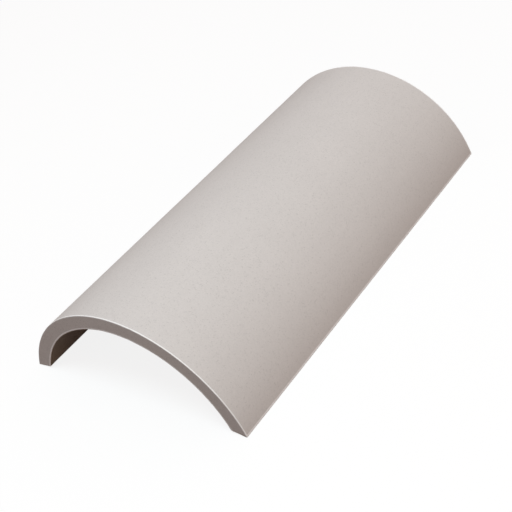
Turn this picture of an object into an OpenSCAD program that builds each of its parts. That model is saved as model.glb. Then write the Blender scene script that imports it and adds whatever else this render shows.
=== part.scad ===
// Half round ridge tile: one pressed concrete piece that caps the ridge of a pitched roof.
// It is a plain shell of even wall, bent to a little less than a half circle, with square
// butt ends, flat bearing faces that slope down to the outside, and every arris eased.
//
// Millimetres. The origin is in the middle of the tile, on the level plane that its toes rest on.
// +Y runs along the ridge and +Z points up through the crown.

/* [Shell] */
// Length along the ridge
tile_length = 450; // [300:1:600]
// Width across the outer faces at the resting plane
width = 244.5; // [220:0.5:300]
// Height of the crown above the resting plane
rise = 92.5; // [70:0.5:105]
// Thickness of the wall
wall = 15; // [10:0.5:20]

/* [Edges] */
// Slope of the bearing faces, down towards the outside, to sit on both sides of the ridge
toe_slope = 8; // [0:1:15]
// Radius of the eased arrises
arris = 0.5; // [0.3:0.1:3]

/* [Finish] */
// Colour of the concrete
concrete = "#CBC6C2"; // [#CBC6C2:Light grey, #8E8884:Slate grey, #9C5A45:Terracotta red]

/* [Hidden] */
// Facets of a full turn
$fn = 180;
// How far an arris is set into the two faces that it joins, so that it always meets both
bite = 0.004;
// Distance from the middle of an arris to both of its faces
arris_depth = arris - bite;
// Reach of a cutter past the edge that it trims
clear = 4 * arris;

// Radii of the two faces: the outer one passes through the crown and both sides of the resting plane
outer_radius = (pow(width / 2, 2) + pow(rise, 2)) / (2 * rise);
inner_radius = outer_radius - wall;
// Height of the shell's axis, below the resting plane on a tile that is less than a half circle
axis_z = rise - outer_radius;

// Middles of the two arrises of the right toe, by their distance and direction from the axis. The
// outer one rests on the plane. The inner one lies up the slope from it, by the law of sines.
outer_reach = outer_radius - arris_depth;
inner_reach = inner_radius + arris_depth;
outer_toe = asin((arris - axis_z) / outer_reach);
inner_toe = asin(outer_reach * sin(outer_toe + toe_slope) / inner_reach) - toe_slope;

// Point of a drawing at this distance and direction from its origin
function polar(distance, direction) = distance * [cos(direction), sin(direction)];

// Stands a plan drawing up and lays its height along the ridge
module along_ridge() {
    rotate([90, 0, 0]) children();
}

// Children on the right, and again on the left
module both_sides() {
    for (side = [0, 1])
        mirror([side, 0, 0]) children();
}

// Rectangle from the origin with all four corners rounded
module rounded_rectangle(size, radius) {
    translate([radius, 0]) square([size.x - 2 * radius, size.y]);
    translate([0, radius]) square([size.x, size.y - 2 * radius]);
    for (x = [radius, size.x - radius], y = [radius, size.y - radius])
        translate([x, y]) circle(radius);
}

// Full ring of the wall, with the curved arrises of both ends eased
module ring() {
    translate([0, 0, axis_z])
        along_ridge()
            rotate_extrude()
                translate([inner_radius, -tile_length / 2])
                    rounded_rectangle([wall, tile_length], arris);
}

// Everything above the right bearing face, with the short arrises under both ends eased
module above_bearing_face() {
    translate([outer_reach * cos(outer_toe), 0, arris])
        rotate([0, toe_slope, 0])
            rotate([90, 0, 90])
                linear_extrude(2 * width, center = true)
                    translate([-tile_length / 2 - bite, -arris_depth])
                        rounded_rectangle([tile_length + 2 * bite, rise + clear], arris);
}

// Corner that an arris takes off the right toe, between the bearing face and the outer or inner
// face. The middle of the arris is given from the shell's axis, and that face by its direction.
module toe_relief(reach, direction, to_face) {
    to_bearing = -90 - toe_slope;
    to_corner = (to_face + to_bearing) / 2;
    translate([0, axis_z] + polar(reach, direction))
        difference() {
            polygon([
                [0, 0],
                polar(clear, to_bearing),
                polar(2 * clear, to_corner),
                polar(clear, to_face)
            ]);
            circle(arris);
        }
}

// Cutters that ease the long arrises of the right toe, outside and inside
module toe_reliefs() {
    along_ridge()
        linear_extrude(tile_length + 2 * clear, center = true) {
            toe_relief(outer_reach, outer_toe, outer_toe);
            toe_relief(inner_reach, inner_toe, inner_toe - 180);
        }
}

module ridge_tile() {
    color(concrete)
        difference() {
            intersection() {
                ring();
                both_sides() above_bearing_face();
            }
            both_sides() toe_reliefs();
        }
}

ridge_tile();
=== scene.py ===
"""Half round ridge tile of pale pressed concrete, on a white floor under soft studio light.

Metres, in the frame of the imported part: +Y along the ridge, +Z up, the toes resting at z = 0.
"""

import math

import bmesh
import bpy
import numpy as np
from mathutils import Matrix, Vector, noise


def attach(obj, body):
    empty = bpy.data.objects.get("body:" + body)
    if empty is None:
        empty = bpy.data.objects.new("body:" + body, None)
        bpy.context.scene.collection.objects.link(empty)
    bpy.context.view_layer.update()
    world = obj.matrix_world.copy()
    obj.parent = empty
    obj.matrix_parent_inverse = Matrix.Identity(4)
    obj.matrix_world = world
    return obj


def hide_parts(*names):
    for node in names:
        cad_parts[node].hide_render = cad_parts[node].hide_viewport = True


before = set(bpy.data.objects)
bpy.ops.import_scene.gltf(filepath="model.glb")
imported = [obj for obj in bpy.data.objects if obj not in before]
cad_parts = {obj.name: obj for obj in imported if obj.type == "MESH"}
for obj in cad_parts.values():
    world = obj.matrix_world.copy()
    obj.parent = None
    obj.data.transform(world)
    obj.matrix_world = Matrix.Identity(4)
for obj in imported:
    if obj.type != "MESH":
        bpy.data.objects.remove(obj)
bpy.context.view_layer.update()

# Sizes of the shell, as the solid has them
LENGTH = 0.450
WIDTH = 0.2445
RISE = 0.0925
WALL = 0.015
TOE_SLOPE = math.radians(8)
ARRIS = 0.0005
OUTER_RADIUS = ((WIDTH / 2) ** 2 + RISE**2) / (2 * RISE)
INNER_RADIUS = OUTER_RADIUS - WALL
AXIS_Z = RISE - OUTER_RADIUS

# Mesh: size of a cell, steps round an arris, how far up an end its cells follow the toe's outline,
# and the distance within which points are joined
CELL = 0.0025
ARRIS_STEPS = 5
TOE_BLEND = 0.008
WELD = 0.0000005

# Edges: the radius that the inner edges of the toes are rounded to, the bands of painted highlight
# on the outer face along the toes and ends and on the inner rims of the ends, how strong each painted
# highlight is, and the fade past a band
TOE_ROUND = 0.0025
TOE_BAND = 0.0020
END_BAND = 0.0010
RIM_BAND = 0.0015
TOE_HIGHLIGHT = 1.0
END_HIGHLIGHT = 0.8
RIM_HIGHLIGHT = 1.0
HIGHLIGHT_FADE = 0.0004

# Relief that is modelled: depth and wavelength of each layer of unevenness, then the nicks, which
# lie where a noise of their own, shifted away from the others, is over a level
RELIEF = [(0.00010, 0.070), (0.00004, 0.018), (0.00002, 0.006)]
NICK_DEPTH = 0.0003
NICK_LENGTH = 0.009
NICK_LEVEL = 0.25
NICK_SHIFT = Vector((7.0, 3.0, 5.0))

# Texture map: side of the square that the unrolled shell is laid in, and the gap between islands
SHEET = 0.69
SHEET_GAP = 0.008

# Concrete: its linear colour outside, on the raw underside, where it is darker and warmer as painted
# shade, and in the bands of painted highlight along edges, and how raw the ends are, between 0 outside
# and 1 on the underside
CEMENT = (0.622, 0.590, 0.570)
# Painted shade: the underside's colour is darker and warmer than the outside's, for the shade under the
# shell
SHADED_RAW_CEMENT = (0.510, 0.410, 0.330)
# Painted highlight: the pale colour of the bands along the edges, in place of light that the edges catch
HIGHLIGHT_CEMENT = (0.930, 0.925, 0.920)
END_RAW = 0.5

# Detail of the concrete: the size of each kind, the octaves and the mean of a noise, and how much
# each kind tints. The reach of a pinhole is a share of the spacing, and rarity thins out large ones.
CLOUD_SIZE = 0.060
CLOUD_OCTAVES = 4.0
CLOUD_TINT = 0.06
STREAK_SIZE = (0.005, 0.140, 0.005)
STREAK_OCTAVES = 2.0
STREAK_TINT = 0.03
FINES_SIZE = 0.0004
FINES_OCTAVES = 1.0
FINES_TINT = 0.05
NOISE_MEAN = 0.5
SAND_SIZE = 0.0009
SAND_TINT = 0.06
DARK_SAND_SHARE = 0.06
DARK_SAND_TINT = -0.10
PIT_SPACING = 0.005
PIT_REACH = 0.05
RAW_PIT_REACH = 0.15
PIT_RARITY = 3.0
# Painted shade in the pinholes: how much their depth darkens them
PIT_SHADE = -0.35

# Gloss: roughness of the outer face, what the edge bands of painted highlight, the underside and the
# fines add to it, and the specular level
ROUGHNESS = 0.80
EDGE_ROUGHNESS = -0.30
RAW_ROUGHNESS = 0.15
FINES_ROUGHNESS = 0.10
GLOSS = 0.1

# Bump: depth and strength of the sand, and how many times deeper the pinholes are
BUMP_DEPTH = 0.0002
BUMP_STRENGTH = 0.25
PIT_DEPTHS = 4.0

# View: the camera looks at a point on the tile's plane of symmetry
LOOK_AT = Vector((0.0, -0.0219, 0.0113))
DISTANCE = 1.0679
AZIMUTH = math.radians(41.61)
ELEVATION = math.radians(35.86)
ROLL = math.radians(-13.93)
LENS_MM = 74.66
SENSOR_MM = 36.0

# Light: a soft box above the tile, a weaker one low on its right, a weak warm fill, and a floor that
# gives back little light and looks white because it glows to the eye
KEY_PLACE = Vector((0.25, -0.60, 2.20))
KEY_SIZE = 1.0
KEY_WATTS = 33.2
KEY_COLOUR = (0.76, 0.945, 1.0)
SIDE_PLACE = Vector((2.0, -0.1, 0.6))
SIDE_SIZE = 1.0
SIDE_WATTS = 5.3
SIDE_COLOUR = (1.0, 0.87, 0.74)
FILL_COLOUR = (0.486, 0.366, 0.333)
FLOOR_BOUNCE = (0.05, 0.045, 0.04)
FLOOR_SIDE = 40.0
FLOOR_GLOW = 0.86
WHITE = Vector((1.0, 1.0, 1.0))


def stops(length, highlight_band):
    """Places along a face, from 0 to 1: even cells, with a band of painted highlight and its fade at
    both ends.
    """
    band = (highlight_band - ARRIS) / length
    fade = HIGHLIGHT_FADE / length
    inner = np.linspace(band + fade, 1 - band - fade, round(length / CELL) + 1)
    return np.concatenate([[0.0, band], inner, [1 - band, 1.0]])


def section_faces():
    """The four faces of the wall's section, anticlockwise from the right toe.

    Each is a row of points on the core, which is the section less its arrises, as x + iz, and
    the angle of the outward normal at each point.
    """
    outer, inner = OUTER_RADIUS - ARRIS, INNER_RADIUS + ARRIS
    bend = TOE_ROUND - ARRIS
    outer_start = math.asin((ARRIS - AXIS_Z) / outer)
    bend_height = outer * math.sin(outer_start + TOE_SLOPE) + bend
    inner_start = math.asin(bend_height / (inner + bend)) - TOE_SLOPE
    outer_turn, inner_turn = math.pi - 2 * outer_start, math.pi - 2 * inner_start
    along = stops(outer * outer_turn, TOE_BAND)
    outer_angles = outer_start + outer_turn * along
    inner_angles = inner_start + inner_turn * along
    outer_arc = 1j * AXIS_Z + outer * np.exp(1j * outer_angles)
    inner_arc = 1j * AXIS_Z + inner * np.exp(1j * inner_angles)
    down = 1.5 * math.pi
    bend_centre = 1j * AXIS_Z + (inner + bend) * np.exp(1j * inner_start)
    toe_end = bend_centre + bend * np.exp(1j * (down - TOE_SLOPE))
    across = stops(abs(toe_end - outer_arc[0]), RIM_BAND)
    right_toe = toe_end + (outer_arc[0] - toe_end) * across
    return [
        (outer_arc, outer_angles),
        (-np.conj(right_toe[::-1]), np.full(len(across), down + TOE_SLOPE)),
        (inner_arc[::-1], inner_angles[::-1] + math.pi),
        (right_toe, np.full(len(across), down - TOE_SLOPE)),
    ]


def arris_between(face, following):
    """The arris from one face to the following one, in the same form and without its two ends."""
    points, normals = face
    next_points, next_normals = following
    turn = (next_normals[0] - normals[-1]) % (2 * math.pi)
    radius = abs(next_points[0] - points[-1]) / (2 * math.sin(turn / 2))
    angles = normals[-1] + turn * np.arange(1, ARRIS_STEPS) / ARRIS_STEPS
    return points[-1] + radius * (np.exp(1j * angles) - np.exp(1j * normals[-1])), angles


def rim(count):
    """1 at both ends of a row of points, where an arris starts, and 0 between them."""
    edge = np.zeros(count)
    edge[[0, -1]] = 1
    return edge


def section_outline(faces):
    """The closed outline: core points, normal angles, and 1 on an arris or 0 on a face."""
    core, angles, edge = [], [], []
    for face, following in zip(faces, faces[1:] + faces[:1]):
        arris = arris_between(face, following)
        core += [face[0], arris[0]]
        angles += [face[1], arris[1]]
        edge += [rim(len(face[0])), np.ones(len(arris[0]))]
    return np.concatenate(core), np.concatenate(angles), np.concatenate(edge)


def rows():
    """Rows along the ridge: place on the core, turn of the end's arris, and 1 on an arris or 0 off it.

    The turn goes from 0 on the end to 1 on the sides.
    """
    half = LENGTH / 2 - ARRIS
    turn = np.linspace(0, 1, ARRIS_STEPS + 1)
    middle = stops(2 * half, END_BAND)[1:-1] * 2 * half - half
    place = np.concatenate([np.full(len(turn), -half), middle, np.full(len(turn), half)])
    edge = np.concatenate([np.ones(len(turn)), np.zeros(len(middle)), np.ones(len(turn))])
    return place, np.concatenate([turn, np.ones(len(middle)), turn[::-1]]), edge


def lay_out(columns, places, height):
    """Places on the texture map, in units of its side, for a grid that starts at this height."""
    u, v = np.meshgrid(SHEET_GAP + columns, SHEET_GAP + height + places)
    return np.stack([u, v], -1) / SHEET


def running_length(points, closed=False):
    """Distance along a row of points, which may end where it began."""
    if closed:
        points = np.concatenate([points, points[:1]])
    steps = np.linalg.norm(np.diff(points, axis=0), axis=1)
    return np.concatenate([[0.0], np.cumsum(steps)])


class Patchwork:
    """Vertices and faces gathered from grids, with what each vertex and face corner carries."""

    def __init__(self):
        self.points, self.normals, self.edge, self.raw_and_shaded = [], [], [], []
        self.faces, self.maps = [], []
        self.count = 0

    def add(self, points, normals, edge, raw_and_shaded, layout, wrap=False, flip=False):
        """Adds a grid of rows and columns. A wrapped one closes on itself across its columns."""
        height, width = points.shape[:2]
        cells = np.arange(width if wrap else width - 1)
        row = np.arange(height - 1)[:, None]
        low, high = row * width, row * width + width
        left, right = cells, (cells + 1) % width
        corners = [low + left, high + left, high + right, low + right]
        spots = [layout[:-1, cells], layout[1:, cells], layout[1:, cells + 1], layout[:-1, cells + 1]]
        order = [3, 2, 1, 0] if flip else [0, 1, 2, 3]
        self.faces.append(np.stack([corners[n] for n in order], -1).reshape(-1, 4) + self.count)
        self.maps.append(np.stack([spots[n] for n in order], -2).reshape(-1, 2))
        self.points.append(points.reshape(-1, 3))
        self.normals.append(normals.reshape(-1, 3))
        self.edge.append(edge.ravel())
        self.raw_and_shaded.append(raw_and_shaded.ravel())
        self.count += height * width


def lift(flat, y):
    """Points x + iz at y, as rows of x, y, z."""
    flat, y = np.broadcast_arrays(flat, y)
    return np.stack([flat.real, y, flat.imag], -1)


def add_sides(patches, faces):
    """The outer face, toes and underside, in one band round the section, with all arrises.

    Gives back the height that it takes on the texture map.
    """
    core, angles, edge = section_outline(faces)
    place, turn, end_edge = rows()
    out = np.sin(turn * math.pi / 2)[:, None]
    end = np.cos(turn * math.pi / 2)[:, None] * np.sign(place)[:, None]
    push = np.exp(1j * angles)
    points = lift(core + ARRIS * out * push, place[:, None] + ARRIS * end)
    normals = lift(out * push, end)
    edges = np.maximum(edge, end_edge[:, None])
    outward = np.cos(angles - np.angle(core - 1j * AXIS_Z))
    # Raw concrete from 0 outside to 1 on the underside; above the ends' level the colour also carries
    # painted shade
    raw_and_shaded = np.broadcast_to(np.clip(END_RAW - outward, 0, 1), edges.shape)
    middle = len(place) // 2
    layout = lay_out(running_length(points[middle], True), running_length(points[:, 0]), 0)
    patches.add(points, normals, edges, raw_and_shaded, layout, wrap=True)
    return layout[-1, 0, 1] * SHEET


def add_ends(patches, faces, height):
    """The two flat ends, as grids between the outer and the inner arc that follow the toes' outline."""
    outer_arc, inner_arc = faces[0][0], faces[2][0][::-1]
    left_toe = np.concatenate([faces[1][0], arris_between(faces[1], faces[2])[0], inner_arc[-1:]])
    across = running_length(lift(left_toe, 0.0))
    across = across / across[-1]
    grid = outer_arc + (inner_arc - outer_arc) * across[:, None]
    sag = (left_toe - grid[:, -1])[:, None]
    follow = np.clip(1 - np.abs(inner_arc - inner_arc[-1]) / TOE_BLEND, 0, 1)
    grid = grid + sag * follow - np.conj(sag) * follow[::-1]
    edges = np.maximum(rim(len(across))[:, None], rim(len(outer_arc)))
    middle = running_length(lift(grid[len(across) // 2], 0.0))
    for side in (-1, 1):
        points = lift(grid, side * LENGTH / 2)
        normals = np.broadcast_to([0.0, side, 0.0], points.shape)
        layout = lay_out(middle, across * WALL, height)
        patches.add(points, normals, edges, np.full(grid.shape, END_RAW), layout, flip=side < 0)
        height += WALL + SHEET_GAP


def relief(point, edge):
    """How far a point stands proud of the true surface: soft unevenness, less nicks in the arrises."""
    height = sum(depth * noise.noise(Vector(point) / length) for depth, length in RELIEF)
    nick = noise.noise(Vector(point) / NICK_LENGTH + NICK_SHIFT) - NICK_LEVEL
    return height - edge * NICK_DEPTH * max(0.0, nick) / (1 - NICK_LEVEL)


def near(distance, band):
    """1 in the band of painted highlight beside an edge, and 0 past its fade."""
    return np.clip((band + HIGHLIGHT_FADE - distance) / HIGHLIGHT_FADE, 0, 1)


def edge_highlight(points, normals):
    """How strong the painted highlight is at each point, along the edges of the outer face and the ends'
    inner rims.
    """
    x, y, z = points.T
    radius = np.hypot(x, z - AXIS_Z)
    outward = (normals[:, 0] * x + normals[:, 2] * (z - AXIS_Z)) / radius
    # The bands are painted highlights along the toes, the ends and the ends' inner rims
    toes = TOE_HIGHLIGHT * near(z, TOE_BAND)
    ends = END_HIGHLIGHT * near(LENGTH / 2 - np.abs(y), END_BAND)
    rims = RIM_HIGHLIGHT * near(radius - INNER_RADIUS, RIM_BAND)
    return np.clip(outward, 0, 1) * np.maximum(toes, ends) + np.abs(normals[:, 1]) * rims


def build_tile():
    """The dressed shell, as one closed mesh of quads with smooth shading."""
    patches = Patchwork()
    faces = section_faces()
    sides_height = add_sides(patches, faces)
    add_ends(patches, faces, sides_height)
    points, normals = np.concatenate(patches.points), np.concatenate(patches.normals)
    edge = np.concatenate(patches.edge)
    # Painted highlights along the edges, kept on the mesh for the material
    highlight_band = edge_highlight(points, normals)
    heights = np.array([relief(p, e) for p, e in zip(points, edge)])
    resting = np.clip(-normals[:, 2], 0, 1) * (points[:, 2] < ARRIS)
    points = points + normals * (heights * (1 - resting))[:, None]

    mesh = bpy.data.meshes.new("ridge_tile_shell")
    mesh.from_pydata(points.tolist(), [], np.concatenate(patches.faces).tolist())
    mesh.uv_layers.new(name="OFBake").uv.foreach_set("vector", np.concatenate(patches.maps).ravel())
    for name, values in (("edge_highlight", highlight_band), ("raw_and_shaded", np.concatenate(patches.raw_and_shaded))):
        mesh.attributes.new(name, "FLOAT", "POINT").data.foreach_set("value", values)
    joined = bmesh.new()
    joined.from_mesh(mesh)
    bmesh.ops.remove_doubles(joined, verts=joined.verts, dist=WELD)
    joined.to_mesh(mesh)
    joined.free()
    mesh.shade_smooth()
    tile = bpy.data.objects.new("ridge_tile_shell", mesh)
    bpy.context.scene.collection.objects.link(tile)
    return tile


def node(tree, kind, inputs=None, **settings):
    """Adds a node. Its inputs, by name or place, are linked to a socket or set to a value."""
    made = tree.nodes.new("ShaderNode" + kind)
    for name, value in settings.items():
        setattr(made, name, value)
    for key, value in (inputs or {}).items():
        if isinstance(value, bpy.types.NodeSocket):
            tree.links.new(value, made.inputs[key])
        else:
            made.inputs[key].default_value = value
    return made


def calc(tree, operation, *values):
    """The result of a Math node."""
    return node(tree, "Math", dict(enumerate(values)), operation=operation).outputs[0]


def new_tree(owner):
    """An emptied node tree of a material or a world."""
    owner.use_nodes = True
    owner.node_tree.nodes.clear()
    return owner.node_tree


def noise_fac(tree, vector, octaves, size=1.0):
    """A noise from 0 to 1, with features of this size."""
    inputs = {"Vector": vector, "Scale": 1 / size, "Detail": octaves}
    return node(tree, "TexNoise", inputs).outputs["Fac"]


def vary(tree, value, mask, amount, middle=0.0):
    """The value, with this amount added for each unit that the mask is over its middle."""
    return calc(tree, "MULTIPLY_ADD", calc(tree, "SUBTRACT", mask, middle), amount, value)


def toward(tree, base, colour, mask):
    """The base colour, moved by the mask along the way from plain cement to another colour."""
    change = Vector(colour) - Vector(CEMENT)
    return node(tree, "VectorMath", {0: mask, 1: change, 2: base}, operation="MULTIPLY_ADD").outputs[0]


def pinholes(tree, place, raw_and_shaded):
    """Depth of scattered pinholes, from 0 to 1. They are larger on the raw underside."""
    pits = node(tree, "TexVoronoi", {"Vector": place, "Scale": 1 / PIT_SPACING})
    lot = node(tree, "SeparateColor", {"Color": pits.outputs["Color"]}).outputs["Red"]
    reach = calc(tree, "MULTIPLY_ADD", raw_and_shaded, RAW_PIT_REACH - PIT_REACH, PIT_REACH)
    reach = calc(tree, "MULTIPLY", reach, calc(tree, "POWER", lot, PIT_RARITY))
    inward = calc(tree, "SUBTRACT", reach, pits.outputs["Distance"])
    return calc(tree, "DIVIDE", calc(tree, "MAXIMUM", inward, 0.0), RAW_PIT_REACH)


def concrete():
    """Pale pressed concrete: fine sand, faint clouds and streaks, pinholes darkened with painted shade,
    painted highlights along the edges, and a raw underside made darker and warmer as painted shade.
    """
    material = bpy.data.materials.new("concrete")
    tree = new_tree(material)
    place = node(tree, "TexCoord").outputs["Object"]
    highlight_band = node(tree, "Attribute", attribute_name="edge_highlight").outputs["Fac"]
    raw_and_shaded = node(tree, "Attribute", attribute_name="raw_and_shaded").outputs["Fac"]

    clouds = noise_fac(tree, place, CLOUD_OCTAVES, CLOUD_SIZE)
    drawn = node(tree, "VectorMath", {0: place, 1: STREAK_SIZE}, operation="DIVIDE").outputs[0]
    streaks = noise_fac(tree, drawn, STREAK_OCTAVES)
    fines = noise_fac(tree, place, FINES_OCTAVES, FINES_SIZE)
    sand = node(tree, "TexVoronoi", {"Vector": place, "Scale": 1 / SAND_SIZE})
    shade = node(tree, "SeparateColor", {"Color": sand.outputs["Color"]}).outputs
    dark_sand = calc(tree, "LESS_THAN", shade["Green"], DARK_SAND_SHARE)
    pits = pinholes(tree, place, raw_and_shaded)

    tone = vary(tree, 1.0, clouds, CLOUD_TINT, NOISE_MEAN)
    tone = vary(tree, tone, streaks, STREAK_TINT, NOISE_MEAN)
    tone = vary(tree, tone, fines, FINES_TINT, NOISE_MEAN)
    tone = vary(tree, tone, shade["Red"], SAND_TINT, NOISE_MEAN)
    tone = vary(tree, tone, dark_sand, DARK_SAND_TINT)
    # Painted shade: pinholes are darkened in proportion to their depth
    tone = vary(tree, tone, pits, PIT_SHADE)
    # Painted shade: the underside is moved toward a darker, warmer colour
    underside_shade = calc(tree, "MAXIMUM", calc(tree, "MULTIPLY_ADD", raw_and_shaded, 1 / END_RAW, -1.0), 0.0)
    base = toward(tree, CEMENT, SHADED_RAW_CEMENT, underside_shade)
    # Painted highlight: the edge bands are moved toward a pale colour
    base = toward(tree, base, HIGHLIGHT_CEMENT, highlight_band)
    colour = node(tree, "VectorMath", {0: base, "Scale": tone}, operation="SCALE").outputs[0]

    rough = vary(tree, ROUGHNESS, highlight_band, EDGE_ROUGHNESS)
    rough = vary(tree, rough, raw_and_shaded, RAW_ROUGHNESS)
    rough = vary(tree, rough, fines, FINES_ROUGHNESS, NOISE_MEAN)
    grain = calc(tree, "SUBTRACT", fines, sand.outputs["Distance"])
    height = calc(tree, "MULTIPLY_ADD", pits, -PIT_DEPTHS, grain)
    bump = node(tree, "Bump", {"Height": height, "Strength": BUMP_STRENGTH, "Distance": BUMP_DEPTH})
    surface = node(tree, "BsdfPrincipled", {
        "Base Color": colour,
        "Roughness": rough,
        "Normal": bump.outputs["Normal"],
        "Specular IOR Level": GLOSS,
    })
    node(tree, "OutputMaterial", {"Surface": surface.outputs[0]})
    return material


def seen_by_eye(tree):
    """1 for rays that show a thing to the camera, also in gloss or glass, and 0 for light on its way."""
    path = node(tree, "LightPath").outputs
    straight = calc(tree, "MAXIMUM", path["Is Camera Ray"], path["Is Glossy Ray"])
    return calc(tree, "MAXIMUM", straight, path["Is Transmission Ray"])


def white_floor():
    """A floor that looks white and keeps a light shadow, and gives back little light to the tile."""
    material = bpy.data.materials.new("white_floor")
    tree = new_tree(material)
    white = node(tree, "BsdfDiffuse", {"Color": (*WHITE, 1)}).outputs[0]
    glow = node(tree, "Emission", {"Color": (*WHITE, 1), "Strength": 1.0}).outputs[0]
    shown = node(tree, "MixShader", {0: FLOOR_GLOW, 1: white, 2: glow}).outputs[0]
    bounce = node(tree, "BsdfDiffuse", {"Color": (*FLOOR_BOUNCE, 1)}).outputs[0]
    both = node(tree, "MixShader", {0: seen_by_eye(tree), 1: bounce, 2: shown}).outputs[0]
    node(tree, "OutputMaterial", {"Surface": both})
    return material


def make_floor():
    """The floor that the tile lies on, which isn't part of it."""
    bpy.ops.mesh.primitive_plane_add(size=FLOOR_SIDE)
    floor = bpy.context.object
    floor.name = "floor"
    floor.data.materials.append(white_floor())


def make_world():
    """A weak warm fill from all round. The camera sees it as the far floor, so that no horizon shows."""
    world = bpy.data.worlds.new("fill")
    tree = new_tree(world)
    far_floor = Vector(FILL_COLOUR).lerp(WHITE, FLOOR_GLOW)
    fill = node(tree, "Background", {"Color": (*FILL_COLOUR, 1), "Strength": 1.0}).outputs[0]
    shown = node(tree, "Background", {"Color": (*far_floor, 1), "Strength": 1.0}).outputs[0]
    both = node(tree, "MixShader", {0: seen_by_eye(tree), 1: fill, 2: shown}).outputs[0]
    node(tree, "OutputWorld", {"Surface": both})
    bpy.context.scene.world = world


def make_soft_box(name, place, size, watts, colour):
    """A round soft box that faces the tile."""
    light = bpy.data.lights.new(name, "AREA")
    light.shape = "DISK"
    light.size = size
    light.energy = watts
    light.color = colour
    lamp = bpy.data.objects.new(name, light)
    lamp.location = place
    lamp.rotation_euler = place.to_track_quat("Z", "Y").to_euler()
    bpy.context.scene.collection.objects.link(lamp)


def make_camera():
    """The camera, at its distance from the point that it looks at."""
    turn = Matrix.Rotation(AZIMUTH, 4, "Z") @ Matrix.Rotation(math.pi / 2 - ELEVATION, 4, "X")
    turn = turn @ Matrix.Rotation(ROLL, 4, "Z")
    lens = bpy.data.cameras.new("camera")
    lens.sensor_width = SENSOR_MM
    lens.lens = LENS_MM
    camera = bpy.data.objects.new("camera", lens)
    camera.matrix_world = Matrix.Translation(LOOK_AT) @ turn @ Matrix.Translation((0, 0, DISTANCE))
    bpy.context.scene.collection.objects.link(camera)
    bpy.context.scene.camera = camera


make_camera()
make_floor()
make_world()
make_soft_box("key", KEY_PLACE, KEY_SIZE, KEY_WATTS, KEY_COLOUR)
make_soft_box("side", SIDE_PLACE, SIDE_SIZE, SIDE_WATTS, SIDE_COLOUR)
tile = build_tile()
tile.data.materials.append(concrete())
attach(tile, "root")
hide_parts("ridge_tile")
bpy.context.scene.view_settings.view_transform = "Standard"
